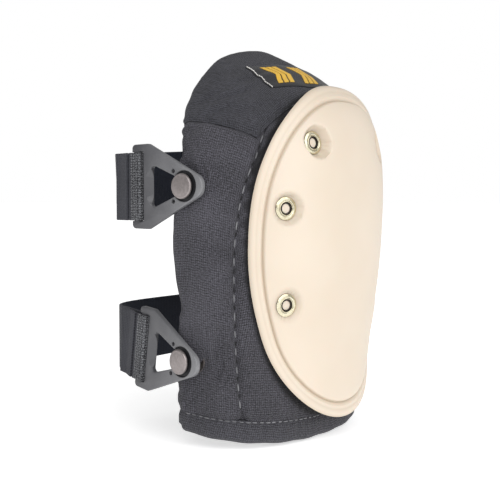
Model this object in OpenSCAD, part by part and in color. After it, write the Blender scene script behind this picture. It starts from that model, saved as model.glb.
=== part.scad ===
/* [Pad] */
// Height of the knee centre above the lower hem
knee_height = 110; // [105:1:115]
// Thickness of the woven cover at the front
cover_thick = 1.2; // [1:0.1:1.3]
// Thickness of the side and thigh covers with their backing
side_thick = 2.6; // [2:0.1:2.6]
// Thickness of the foam core at the wings
foam_side = 5.2; // [4.8:0.1:5.4]
// Extra foam thickness at the knee centre
foam_crown = 4; // [3:0.5:5]
// Extra thickness of the soft knee cushion at the knee centre
cushion_crown = 5; // [4:0.5:6]

/* [Cap] */
// Half of the cap's width, measured across the pad
cap_half_w = 66.2; // [65:0.1:67]
// Height of the cap's widest point above the hem
cap_mid = 103; // [102:0.5:104]
// Reach of the cap above its widest point
cap_up = 86.5; // [85:0.5:87.5]
// Reach of the cap below its widest point
cap_down = 100; // [98:0.5:100.5]
// Wall thickness of the moulded cap
cap_wall = 2.4; // [2.2:0.1:2.5]
// Height of the dome above the flat rim band
dome_rise = 8.5; // [7.5:0.5:9]

/* [Rivets] */
// Outside diameter of the brass eyelet washers
eyelet_d = 13; // [12:0.5:14]
// Diameter of the rivets' shanks
rivet_d = 4.8; // [4.4:0.1:4.9]
// Depth of the round seat that each rivet sits in
seat_depth = 1.5; // [1.2:0.1:1.8]

/* [Buckles] */
// Diameter of the stud's head
stud_d = 14; // [13:0.5:14]
// Thickness of the buckle's plate
buckle_t = 3.2; // [3:0.1:3.2]
// Travel that brings the stud's head to the wide end of the opening
release_travel = 16; // [14:0.5:16]

/* [Straps] */
// Width of the elastic straps
strap_w = 38; // [36:1:38]
// Thickness of the elastic straps
strap_t = 1.7; // [1.5:0.1:1.8]
// Reach of the strap loops behind the wings
strap_reach = 66; // [60:1:72]

/* [Hidden] */
$fn = 64;

// The pad's outer skin. Stations run from the hem to the top edge.
// Each one gives how far the skin reaches and its height above the hem.
centre_line = [[54, -8], [55.6, 30], [58.5, 64], [60.5, 98], [61.5, 132],
               [61, 162], [56, 184], [41.5, 198.6], [23, 210.5], [3.5, 220.2]];
wing_edge = [[74, 1], [76, 33], [78.5, 66], [79.5, 99], [78.5, 130],
             [75.5, 153], [70.5, 171], [63, 185], [55, 195.5], [46, 204]];
squareness = [2.3, 2.45, 2.6, 2.6, 2.6, 2.5, 2.3, 2.0, 1.8, 1.6];
edge_a = 0.99;          // the covers end just short of the wings' rear edge
hem_v = 0.033;          // height of the hem band on the skin's own scale
groove = 0.915;         // place of the cap's groove between centre and rim
// The rivets' places: across the pad and above the hem
rivet_at = [[32.5, 159.5], [50.5, 123.9], [48.5, 71.4]];
// The studs: out from the middle, ahead of the wing's edge, above the hem
stud_at = [[81.7, 11, 136], [81.8, 9, 40]];
toe_in = [2.4, 10.5];   // how far each buckle leans in towards the leg
pitch = [0, 7.6];       // how far each buckle's rear end is raised
skin_gap = [4, 5.5];    // from the buckle's middle plane to the wing's skin
strap_mid = [136, 47];  // height of each strap's centre above the hem
loop_near = [77.5, 70]; // half-widths of the strap loops on the buckle side
loop_far = [78.2, 78.6];
loop_tilt = [3.5, 0];   // how far each loop climbs towards the far wing
loop_square = [2.6, 3.2];
loop_root = 24;         // where the loops start to bend, behind the wings
cut_r = 46;             // the straps are parted on this circle about the studs
bar_u = 34.6;           // the buckle's rear bar, from the stud
bar_half = 2.1;
fabric = "#515157";
trim = "#3d3e45";
cream = "#f6e8d4";
steel = "#96908f";

// A smooth curve through a list of stations, with v from 0 to 1
function station(t, i) = i < 0 ? 2 * t[0] - t[1]
  : i >= len(t) ? 2 * t[len(t) - 1] - t[len(t) - 2] : t[i];
function along(t, v) =
  let (n = len(t) - 1, k = max(0, min(floor(v * n), n - 1)), u = v * n - k,
       a = station(t, k - 1), b = t[k], c = t[k + 1], d = station(t, k + 2))
  (2 * b + (c - a) * u + (2 * a - 5 * b + 4 * c - d) * u * u
   + (3 * b - a - 3 * c + d) * u * u * u) / 2;

// A point of the skin: a runs from one wing (-1) to the other (1), v upwards
function skin(a, v) =
  let (c = along(centre_line, v), e = along(wing_edge, v),
       n = along(squareness, v), p = pow(abs(sin(90 * a)), 2 / n),
       q = pow(abs(cos(90 * a)), 2 / n))
  [sign(a) * e[0] * p, -c[0] * q, e[1] + (c[1] - e[1]) * q - knee_height];
function unit(w) = w / norm(w);
function outward(a, v) =
  let (m = max(-0.97, min(0.97, a)), w = max(0.01, min(0.99, v)), h = 0.005)
  unit(cross(skin(m + h, w) - skin(m - h, w), skin(m, w + h) - skin(m, w - h)));
function below(a, v, depth) = skin(a, v) - depth * outward(a, v);

// The skin's own place under a point given across the pad and above the hem
function height_at(s, v) =
  let (c = along(centre_line, v), e = along(wing_edge, v),
       n = along(squareness, v), p = min(abs(s) / e[0], 1))
  e[1] + (c[1] - e[1]) * pow(1 - pow(p, n), 1 / n);
function find_v(s, z, low = 0, high = 1, steps = 16) =
  let (m = (low + high) / 2)
  steps == 0 ? m : height_at(s, m) < z ? find_v(s, z, m, high, steps - 1)
  : find_v(s, z, low, m, steps - 1);
function place(s, z) =
  let (v = find_v(s, z), n = along(squareness, v), e = along(wing_edge, v))
  [sign(s) * asin(pow(min(abs(s) / e[0], 1), n / 2)) / 90, v];

// The seams between the covers, on the skin's own scale
function seam_a(v) = 0.655 - (v > 0.34 ? 2 : 0.7) * pow(v - 0.34, 2);
function seam_v(a) = abs(a) < 0.54 ? 0.69 - 0.12 * pow(a / 0.54, 2)
  : 0.57 + 0.235 * (abs(a) - 0.54);
function top_v(a) = 1 - 0.06 * pow(abs(a), 6);
function crown(a, v) = pow(cos(90 * a), 2) * sqrt(sin(180 * max(0.02, min(0.98, v))));
foam_top = side_thick + 0.2;
function foam_in(a, v) = foam_top + foam_side + foam_crown * crown(a, v);
function cushion_in(a, v) = foam_in(a, v) + 2.2 + cushion_crown * crown(a, v);

// A closed sheet between two depths. site(u, w) gives the skin's a and v.
module sheet(site, nu, nv, outer, inner) {
  row = nu + 1;
  layer = row * (nv + 1);
  points = [for (side = [outer, inner]) for (j = [0 : nv]) for (i = [0 : nu])
    let (p = site(i / nu, j / nv)) below(p[0], p[1], side(p[0], p[1]))];
  quads = concat(
    [for (j = [0 : nv - 1]) for (i = [0 : nu - 1]) let (k = j * row + i)
      each [[k, k + row, k + row + 1, k + 1],
            [k + layer, k + 1 + layer, k + row + 1 + layer, k + row + layer]]],
    [for (i = [0 : nu - 1]) let (k = i, m = nv * row + i)
      each [[k, k + 1, k + 1 + layer, k + layer],
            [m, m + layer, m + 1 + layer, m + 1]]],
    [for (j = [0 : nv - 1]) let (k = j * row, m = k + nu)
      each [[k, k + layer, k + row + layer, k + row],
            [m, m + row, m + row + layer, m + layer]]]);
  polyhedron(points, [for (q = quads) each [[q[0], q[1], q[2]], [q[0], q[2], q[3]]]]);
}

// Puts its children on the skin, with +Z pointing out of the pad
module on_skin(s, z) {
  p = place(s, z);
  n = outward(p[0], p[1]);
  translate(skin(p[0], p[1])) rotate([0, acos(n[2]), atan2(n[1], n[0])]) children();
}
module at_rivets() {
  for (side = [-1, 1]) for (r = rivet_at) on_skin(side * r[0], r[1]) children();
}
// The stud's frame: +X back along the buckle, +Z out of the wing
module at_stud(k) {
  translate([-stud_at[k][0], -stud_at[k][1], stud_at[k][2] - knee_height])
    rotate([-90, 0, 90 - toe_in[k]]) rotate([0, 0, -pitch[k]]) children();
}

// The cap's outline and the height of its outer face above the skin
function rim_n(t) = cos(t) > 0 ? 2.42 : 2.08;
function rim_s(t) = cap_half_w * sign(sin(t)) * pow(abs(sin(t)), 2 / rim_n(t));
function rim_z(t) = (cos(t) > 0 ? cap_up : cap_down)
  * sign(cos(t)) * pow(abs(cos(t)), 2 / rim_n(t));
function part_of(x) = pow(max(0, min(1, x)), 1.45);
function rim_lift(z) = cap_wall + 0.8 + 5.2 * part_of((z - 110) / 80)
  + 10.2 * part_of((50 - z) / 50);
function cap_lift(r, z) = rim_lift(z)
  + (r > groove + 0.01 ? (r > 0.99 ? -0.6 : 0) : r > groove - 0.01 ? -0.7
     : 0.6 + (dome_rise - 1.8 * exp(-pow((z - 74) / 26, 2)))
       * pow(1 - pow(r / groove, 2.2), 0.75));
function cap_point(r, t, drop) =
  let (s = r * rim_s(t), z = cap_mid + r * rim_z(t), p = place(s, z))
  below(p[0], p[1], drop - cap_lift(r, z));
cap_rings = [0.14, 0.28, 0.42, 0.55, 0.67, 0.77, 0.85, 0.895, 0.915, 0.935, 0.97, 1];
cap_sides = 48;

module cap_shell() {
  n = cap_sides;
  rings = len(cap_rings);
  layer = n * rings + 1;
  step = 360 / n;
  points = [for (drop = [0, cap_wall]) each concat(
    [for (r = cap_rings) for (i = [0 : n - 1])
      cap_point(r, i * step, r > 0.99 ? drop * 0.75 : drop)],
    [cap_point(0.001, 0, drop)])];
  faces = concat(
    [for (j = [0 : rings - 2]) for (i = [0 : n - 1])
      let (a = j * n + i, b = j * n + (i + 1) % n)
      each [[a, a + n, b + n], [a, b + n, b],
            [a + layer, b + n + layer, a + n + layer],
            [a + layer, b + layer, b + n + layer]]],
    [for (i = [0 : n - 1]) let (b = (i + 1) % n)
      each [[layer - 1, i, b], [2 * layer - 1, b + layer, i + layer]]],
    [for (i = [0 : n - 1]) let (m = (rings - 1) * n, a = m + i, b = m + (i + 1) % n)
      each [[a, a + layer, b + layer], [a, b + layer, b]]]);
  polyhedron(points, faces);
}
// How high the seat's face stands over the skin at each rivet
seat_h = 4.6;
module cap() {
  color(cream) difference() {
    union() {
      cap_shell();
      at_rivets() translate([0, 0, 0.3]) cylinder(d = eyelet_d + 2.6, h = seat_h - 0.3);
    }
    at_rivets() translate([0, 0, seat_h]) cylinder(d = eyelet_d + 2.6, h = 12);
    at_rivets() translate([0, 0, -1]) cylinder(d = rivet_d + 0.4, h = 12);
  }
}
module cap_eyelets() {
  color("#e6dfc4") at_rivets() translate([0, 0, seat_h]) rotate_extrude()
    polygon([[3.3, 0], [eyelet_d / 2, 0], [eyelet_d / 2, 0.5], [eyelet_d / 2 - 1, 1.1],
             [4.2, 1.1], [3.3, 0.7]]);
}
burr_depth = foam_top - 0.2;
module cap_rivets() {
  color(steel) at_rivets() {
    translate([0, 0, seat_h]) cylinder(d = 6.4, h = 0.9);
    translate([0, 0, -burr_depth - 1.1]) cylinder(d = rivet_d, h = seat_h + burr_depth + 1.1);
    translate([0, 0, -burr_depth - 1.9]) cylinder(d = 6.6, h = 0.8);
  }
}
module rivet_burrs() {
  color(steel) at_rivets() translate([0, 0, -burr_depth - 1.1]) difference() {
    cylinder(d = 11, h = 1);
    translate([0, 0, -1]) cylinder(d = rivet_d + 0.1, h = 3);
  }
}
module backing_plate() {
  color("#2b2b2e") difference() {
    sheet(function(u, w) [u - 0.5, 0.06 + w * (seam_v(u - 0.5) - 0.075)], 18, 18,
          function(a, v) cover_thick + 0.2, function(a, v) burr_depth - 0.1);
    at_rivets() {
      translate([0, 0, -6]) cylinder(d = rivet_d + 0.4, h = 8);
      translate([0, 0, -burr_depth - 4]) cylinder(r = 6, h = 4);
    }
  }
}

// The covers, from the hem band up
low_v = hem_v + 0.004;
module front_cover() {
  color(fabric) difference() {
    sheet(function(u, w) let (a = (2 * u - 1) * seam_a(low_v + w * 0.6),
                              v = low_v + w * (seam_v(a) - 0.004 - low_v)) [a, v],
          20, 22, function(a, v) 0, function(a, v) cover_thick);
    at_rivets() translate([0, 0, -3]) cylinder(d = rivet_d + 0.4, h = 6);
  }
}
module side_cover(side) {
  sheet(function(u, w)
    let (v0 = low_v + w * 0.6, a0 = seam_a(v0) + 0.006,
         a = side > 0 ? a0 + u * (edge_a - a0) : -edge_a + u * (edge_a - a0),
         v = low_v + w * (seam_v(a) - 0.004 - low_v)) [a, v],
    9, 20, function(a, v) 0, function(a, v) side_thick);
}
module near_side_cover() {
  color(fabric) difference() {
    side_cover(-1);
    for (k = [0, 1]) at_stud(k) {
      translate([0, 0, -12]) cylinder(r = 3, h = 12);
      translate([0, 0, -skin_gap[k]]) cylinder(r = 6, h = 6);
      translate([0, 0, -skin_gap[k] - side_thick - 6.2]) cylinder(r = 8.6, h = 6);
    }
  }
}
module far_side_cover() { color(fabric) side_cover(1); }
module thigh_cover() {
  color(fabric) sheet(function(u, w)
    let (a = (2 * u - 1) * edge_a, v0 = seam_v(a) + 0.002) [a, v0 + w * (top_v(a) - 0.005 - v0)],
    26, 18, function(a, v) 0, function(a, v) side_thick);
}
module hem_band() {
  color(trim) sheet(function(u, w) [(2 * u - 1) * edge_a, w * hem_v],
    30, 1, function(a, v) -0.3, function(a, v) cushion_in(a, v) + 1.6);
}
module label() {
  color("#141416") sheet(function(u, w) [(2 * u - 1) * (0.4 + 0.075 * w), 0.735 + 0.125 * w],
    12, 5, function(a, v) -0.9, function(a, v) -0.2);
}
// The padding behind the covers
pad_a = 0.965;
module layer_site(nu, nv, outer, inner, reach) {
  sheet(function(u, w) let (a = (2 * u - 1) * reach)
    [a, low_v + w * (top_v(a) - 0.015 - low_v)], nu, nv, outer, inner);
}
module foam_core() {
  color("#2f3033") difference() {
    layer_site(26, 20, function(a, v) foam_top, function(a, v) foam_in(a, v), pad_a);
    at_rivets() translate([0, 0, -burr_depth - 2.6]) cylinder(d = 13, h = 6);
    for (k = [0, 1]) at_stud(k) translate([0, 0, -skin_gap[k] - 5.8]) cylinder(r = 9.5, h = 9);
  }
}
module knee_cushion() {
  color("#6d7076") layer_site(26, 20, function(a, v) foam_in(a, v) + 0.2,
    function(a, v) cushion_in(a, v), pad_a);
}
module lining() {
  color("#2a2b2f") layer_site(26, 20, function(a, v) cushion_in(a, v) + 0.2,
    function(a, v) cushion_in(a, v) + 1.4, edge_a);
}

// The studs, riveted through the near wing
module stud(k) {
  gap = skin_gap[k];
  end = gap + side_thick;
  color(steel) at_stud(k) {
    translate([0, 0, 1.9]) rotate_extrude()
      polygon([[0, 0], [stud_d / 2 - 0.3, 0], [stud_d / 2, 0.4], [stud_d / 2, 1.3],
               [stud_d / 2 - 0.7, 2], [0, 2.2]]);
    translate([0, 0, -2.1]) cylinder(r = 2.7, h = 4.1);
    translate([0, 0, 0.2 - gap]) cylinder(r = 5.5, h = gap - 2.2);
    translate([0, 0, -end - 1.6]) cylinder(r = 2.5, h = end - gap + 1.9);
    translate([0, 0, -end - 2.2]) cylinder(r = 3.6, h = 0.7);
  }
}
module stud_washers() {
  color(steel) for (k = [0, 1]) at_stud(k)
    translate([0, 0, -skin_gap[k] - side_thick - 1.4]) difference() {
      cylinder(r = 8, h = 1);
      translate([0, 0, -1]) cylinder(r = 2.55, h = 3);
    }
}
module upper_stud() { stud(0); }
module lower_stud() { stud(1); }

// The triangular buckle, flat in its own frame, the stud's neck at the origin
module buckle_outline() {
  hull() {
    translate([-6.4, 0]) circle(r = 7, $fn = 32);
    translate([2, 0]) circle(r = 8.4, $fn = 32);
    for (y = [-1, 1]) translate([26.6, y * 20.8]) circle(r = 3, $fn = 32);
    for (y = [-1, 1]) translate([35.6, y * 21.2]) circle(r = 2.4, $fn = 32);
  }
}
module buckle_opening() {
  hull() {
    circle(r = 2.95, $fn = 32);
    for (y = [-1, 1]) translate([21.4, y * 9.2]) circle(r = 2.2, $fn = 32);
  }
}
module buckle(k) {
  color("#5b5b60") at_stud(k) translate([0, 0, -buckle_t / 2]) difference() {
    linear_extrude(buckle_t) buckle_outline();
    translate([0, 0, -1]) linear_extrude(buckle_t + 2) buckle_opening();
    translate([bar_u - bar_half - 2.9, -strap_w / 2 - 0.4, -1])
      cube([2.8, strap_w + 0.8, buckle_t + 2]);
    translate([bar_u + bar_half, -strap_w / 2 - 0.4, -1])
      cube([6, strap_w + 0.8, buckle_t + 2]);
    translate([-0.6, 0, buckle_t - 1.2]) cylinder(d = stud_d + 3, h = 2);
    for (y = [-1, 1]) translate([7, y * 8.3, -1]) cylinder(d = 2.4, h = buckle_t + 2);
  }
}
module upper_buckle() { buckle(0); }
module lower_buckle() { buckle(1); }

// A strap's own side view, as a band of even thickness along a path
function turn(p, i) =
  let (a = p[max(i - 1, 0)], b = p[min(i + 1, len(p) - 1)], d = unit(b - a)) [-d[1], d[0]];
module band(path) {
  h = strap_t / 2;
  polygon(concat([for (i = [0 : len(path) - 1]) path[i] + h * turn(path, i)],
    [for (i = [len(path) - 1 : -1 : 0]) path[i] - h * turn(path, i)]));
}
// Seen from above: round the back of the leg and sewn flat on the far wing
function wing_x(k, y) = loop_far[k] * pow(1 - pow(abs(y) / 62, 2.6), 1 / 2.6)
  + strap_t / 2 + 0.4;
function loop_path(k) = concat(
  [for (t = [180 : -5 : 0]) let (w = loop_near[k]
      + (loop_far[k] + strap_t / 2 + 0.4 - loop_near[k]) * (1 + cos(t)) / 2,
      c = pow(abs(cos(t)), 2 / loop_square[k]), s = pow(abs(sin(t)), 2 / loop_square[k]))
    [sign(cos(t)) * w * c, loop_root + (strap_reach - loop_root) * s]],
  [for (y = [14 : -6 : -34]) [wing_x(k, min(y, 0)), y]]);
module strap(k) {
  color(trim) difference() {
    translate([-loop_far[k], 0, strap_mid[k] - knee_height]) rotate([0, -loop_tilt[k], 0])
      translate([loop_far[k], 0, -strap_w / 2]) linear_extrude(strap_w) band(loop_path(k));
    at_stud(k) translate([0, 0, -20]) cylinder(r = cut_r + 0.4, h = 40);
  }
}
module upper_strap() { strap(0); }
module lower_strap() { strap(1); }

// The strap's near end, turned round the buckle's bar, in the buckle's frame
ply = buckle_t / 2 + 0.25 + strap_t / 2; // middle of each ply from the plate's
slot_u = bar_u - bar_half - 1.5;
end_u = 38.8;                            // where the outer ply meets the tab
module across(k) {
  at_stud(k) translate([0, strap_w / 2, 0]) rotate([90, 0, 0])
    linear_extrude(strap_w) children();
}
fold_r = 1.1;                            // middle radius of the strap's turns
module strap_end(k) {
  color(trim) intersection() {
    across(k) band(concat([[cut_r + 4, -ply]],
      [for (t = [270 : -22.5 : 180])
        [slot_u + fold_r + fold_r * cos(t), fold_r - ply + fold_r * sin(t)]],
      [for (t = [180 : -22.5 : 90])
        [slot_u + fold_r + fold_r * cos(t), ply - fold_r + fold_r * sin(t)]],
      [[end_u, ply]]));
    at_stud(k) translate([0, 0, -20]) cylinder(r = cut_r, h = 40);
  }
}
module upper_strap_end() { strap_end(0); }
module lower_strap_end() { strap_end(1); }
// The free tab folds back over the strap and is held by hook and loop
tab_u = end_u + 0.4 + strap_t / 2;
tab_path = [[[43.6, 1.6], [46.6, 0.6], [49.4, 0.1], [51.4, 0]],
            [[43.6, 1.6], [46.6, 0.5], [50.4, 0.1], [53.4, 0]]];
module strap_tab(k) {
  color(trim) {
    across(k) band(concat([[tab_u, ply]], tab_path[k]));
    at_stud(k) translate([tab_u, strap_w / 2, ply]) rotate([90, 0, 0])
      cylinder(d = strap_t, h = strap_w);
  }
}
module upper_strap_tab() { strap_tab(0); }
module lower_strap_tab() { strap_tab(1); }

cap();
cap_eyelets();
cap_rivets();
rivet_burrs();
backing_plate();
front_cover();
near_side_cover();
far_side_cover();
thigh_cover();
hem_band();
label();
foam_core();
knee_cushion();
lining();
stud_washers();
upper_stud();
lower_stud();
upper_buckle();
lower_buckle();
upper_strap();
lower_strap();
upper_strap_end();
lower_strap_end();
upper_strap_tab();
lower_strap_tab();
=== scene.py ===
import math

import bpy
import numpy as np
from mathutils import Matrix, Vector


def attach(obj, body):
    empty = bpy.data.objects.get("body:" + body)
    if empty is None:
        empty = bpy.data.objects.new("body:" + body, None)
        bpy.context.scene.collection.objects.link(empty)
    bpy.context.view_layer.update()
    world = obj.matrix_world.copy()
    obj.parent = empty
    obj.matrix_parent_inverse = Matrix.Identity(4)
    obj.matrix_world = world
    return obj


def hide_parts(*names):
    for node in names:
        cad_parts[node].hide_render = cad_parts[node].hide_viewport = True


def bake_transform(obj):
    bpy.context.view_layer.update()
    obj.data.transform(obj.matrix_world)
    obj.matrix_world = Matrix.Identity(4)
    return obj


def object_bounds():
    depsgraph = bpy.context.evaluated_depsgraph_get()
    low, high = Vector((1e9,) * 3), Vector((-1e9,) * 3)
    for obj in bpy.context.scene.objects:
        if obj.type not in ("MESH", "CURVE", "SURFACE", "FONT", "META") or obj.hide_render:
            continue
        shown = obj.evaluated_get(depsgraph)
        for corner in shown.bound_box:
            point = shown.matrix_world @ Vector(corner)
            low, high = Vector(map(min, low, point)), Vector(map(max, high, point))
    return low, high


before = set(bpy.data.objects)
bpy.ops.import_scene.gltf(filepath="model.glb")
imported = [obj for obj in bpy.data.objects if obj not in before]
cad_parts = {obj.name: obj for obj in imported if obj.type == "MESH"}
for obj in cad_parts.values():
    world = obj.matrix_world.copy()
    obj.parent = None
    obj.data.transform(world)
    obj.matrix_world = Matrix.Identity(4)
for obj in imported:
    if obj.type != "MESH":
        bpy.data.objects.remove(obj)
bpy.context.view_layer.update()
up = np.array([0.0, 0.0, 1.0])


# ---- studio: camera, light and floor ----
studio = {
    "cameraPlace": (-0.5112, -0.3550, 0.0185),
    "cameraAim": (0.81813, 0.57286, -0.04950),
    "lens": 72.65,
    "roomLight": 0.45,
    "sunStrength": 1.25,
    "sunFrom": (-0.22, -0.82, 0.50),
    "sideWatts": 2.2,
    "floorGap": 0.0001,
}


def lampAt(kind, place, aim, **settings):
    bpy.ops.object.light_add(type=kind, location=place)
    lamp = bpy.context.object
    lamp.rotation_mode = "QUATERNION"
    lamp.rotation_quaternion = Vector(aim).to_track_quat("-Z", "Y")
    for key, value in settings.items():
        setattr(lamp.data, key, value)


def buildStudio():
    bpy.ops.object.camera_add(location=studio["cameraPlace"])
    camera = bpy.context.object
    camera.rotation_mode = "QUATERNION"
    camera.rotation_quaternion = Vector(studio["cameraAim"]).to_track_quat("-Z", "Y")
    camera.data.lens = studio["lens"]
    camera.data.sensor_width = 36
    camera.data.clip_start = 0.01
    bpy.context.scene.camera = camera
    bpy.context.scene.view_settings.view_transform = "Standard"
    world = bpy.data.worlds.new("studioAir")
    bpy.context.scene.world = world
    world.use_nodes = True
    tree = world.node_tree
    air = tree.nodes["Background"]
    air.inputs[0].default_value = (1, 1, 1, 1)
    air.inputs[1].default_value = studio["roomLight"]
    backdrop = tree.nodes.new("ShaderNodeBackground")
    mixed = tree.nodes.new("ShaderNodeMixShader")
    ray = tree.nodes.new("ShaderNodeLightPath")
    tree.links.new(ray.outputs["Is Camera Ray"], mixed.inputs[0])
    tree.links.new(air.outputs[0], mixed.inputs[1])
    tree.links.new(backdrop.outputs[0], mixed.inputs[2])
    tree.links.new(mixed.outputs[0], tree.nodes["World Output"].inputs[0])
    backdrop.inputs[0].default_value = (1, 1, 1, 1)
    sunFrom = Vector(studio["sunFrom"]).normalized()
    lampAt("SUN", sunFrom * 2, -sunFrom, energy=studio["sunStrength"], angle=math.radians(60))
    sidePlace = Vector((-0.75, -0.35, 0.55))
    lampAt("AREA", sidePlace, -sidePlace, energy=studio["sideWatts"], size=0.5)
    print("studio done")


# ---- socket arithmetic for the finishes ----
class Wire:
    def __init__(self, finish, socket):
        self.finish, self.socket = finish, socket

    def worked(self, operation, first, second=0.0):
        return self.finish.node("ShaderNodeMath", {"operation": operation}, {0: first, 1: second})

    def __add__(self, other):
        return self.worked("ADD", self, other)

    __radd__ = __add__

    def __sub__(self, other):
        return self.worked("SUBTRACT", self, other)

    def __rsub__(self, other):
        return self.worked("SUBTRACT", other, self)

    def __mul__(self, other):
        return self.worked("MULTIPLY", self, other)

    __rmul__ = __mul__

    def sine(self):
        return self.worked("SINE", self)

    def size(self):
        return self.worked("ABSOLUTE", self)

    def ramp(self, low, high):
        return self.finish.node("ShaderNodeMapRange", {"interpolation_type": "SMOOTHSTEP"},
                                {0: self, 1: low, 2: high})


class Finish:
    def __init__(self, name, **settings):
        self.material = bpy.data.materials.new(name)
        self.material.use_nodes = True
        self.tree = self.material.node_tree
        self.shader = self.tree.nodes["Principled BSDF"]
        for key, value in settings.items():
            self.shader.inputs[key].default_value = value

    def node(self, kind, settings=None, values=None, output=0):
        made = self.tree.nodes.new(kind)
        for key, value in (settings or {}).items():
            setattr(made, key, value)
        for key, value in (values or {}).items():
            self.plug(made.inputs[key], value)
        return Wire(self, made.outputs[output])

    def plug(self, socket, value):
        if isinstance(value, Wire):
            self.tree.links.new(value.socket, socket)
        else:
            socket.default_value = value

    def feed(self, socketName, value):
        self.plug(self.shader.inputs[socketName], value)

    def place(self, source="Object"):
        return self.node("ShaderNodeTexCoord", output={"Object": 3, "UV": 2}[source])

    # Reads the point attribute mark, which holds painted shade: how far each point's colour is darkened towards a
    # painted shade tone
    def paintedShadeMask(self):
        return self.node("ShaderNodeAttribute", {"attribute_name": "mark"}, output=2)

    def parts(self, vector):
        return [self.node("ShaderNodeSeparateXYZ", None, {0: vector}, output=i) for i in range(3)]

    def noise(self, vector, scale, detail=3.0, roughness=0.5):
        return self.node("ShaderNodeTexNoise", None, {
            "Vector": vector, "Scale": scale, "Detail": detail, "Roughness": roughness})

    def mix(self, factor, first, second):
        return self.node("ShaderNodeMix", {"data_type": "RGBA"}, {0: factor, 6: first, 7: second}, output=2)

    def bump(self, height, strength, distance):
        return self.node("ShaderNodeBump", None, {
            "Strength": strength, "Distance": distance, "Height": height})


def shade(r, g, b):
    return (r, g, b, 1.0)


def woven(name, dark, light, pitch, rough=0.85, grip=0.5, fleck=0.5, streak=0.0, ground=0.0):
    cloth = Finish(name, Roughness=rough)
    cloth.shader.inputs["Sheen Weight"].default_value = 0.05
    cloth.shader.inputs["Sheen Roughness"].default_value = 0.5
    flat = cloth.place("UV")
    x, y = cloth.parts(flat)[:2]
    wobble = cloth.noise(flat, 900.0, 2.0) * 0.5
    warp = (x * (math.pi / pitch[0]) + wobble).sine()
    weft = (y * (math.pi / pitch[1]) + wobble).sine()
    over = (warp * weft).ramp(-0.25, 0.25)
    height = warp.size() * over + weft.size() * (1 - over)
    fibre = cloth.noise(flat, 2600.0, 2.0, 0.7)
    cloud = cloth.noise(cloth.place(), 26.0, 3.0)
    drawn = cloth.node("ShaderNodeCombineXYZ", None, {0: x * 620.0, 1: y * 1300.0})
    slub = cloth.noise(drawn, 1.0, 2.0, 0.6)
    tone = height * 0.5 + fleck * (fibre - 0.5) * 1.6 + (cloud - 0.5) * 0.5 + streak * (slub - 0.5) + 0.12
    plain = cloth.mix(tone.ramp(ground, 1.0), dark, light)
    # Painted shadow: where the mark is set the cloth is mixed to near black, the shadow under the cap's rim
    cloth.feed("Base Color", cloth.mix(cloth.paintedShadeMask(), plain, shade(0.003, 0.003, 0.004)))
    cloth.feed("Normal", cloth.bump(height + fibre * 0.6 + slub * (streak * 0.8), grip, pitch[0] * 0.35))
    return cloth.material


finishes = {}


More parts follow.
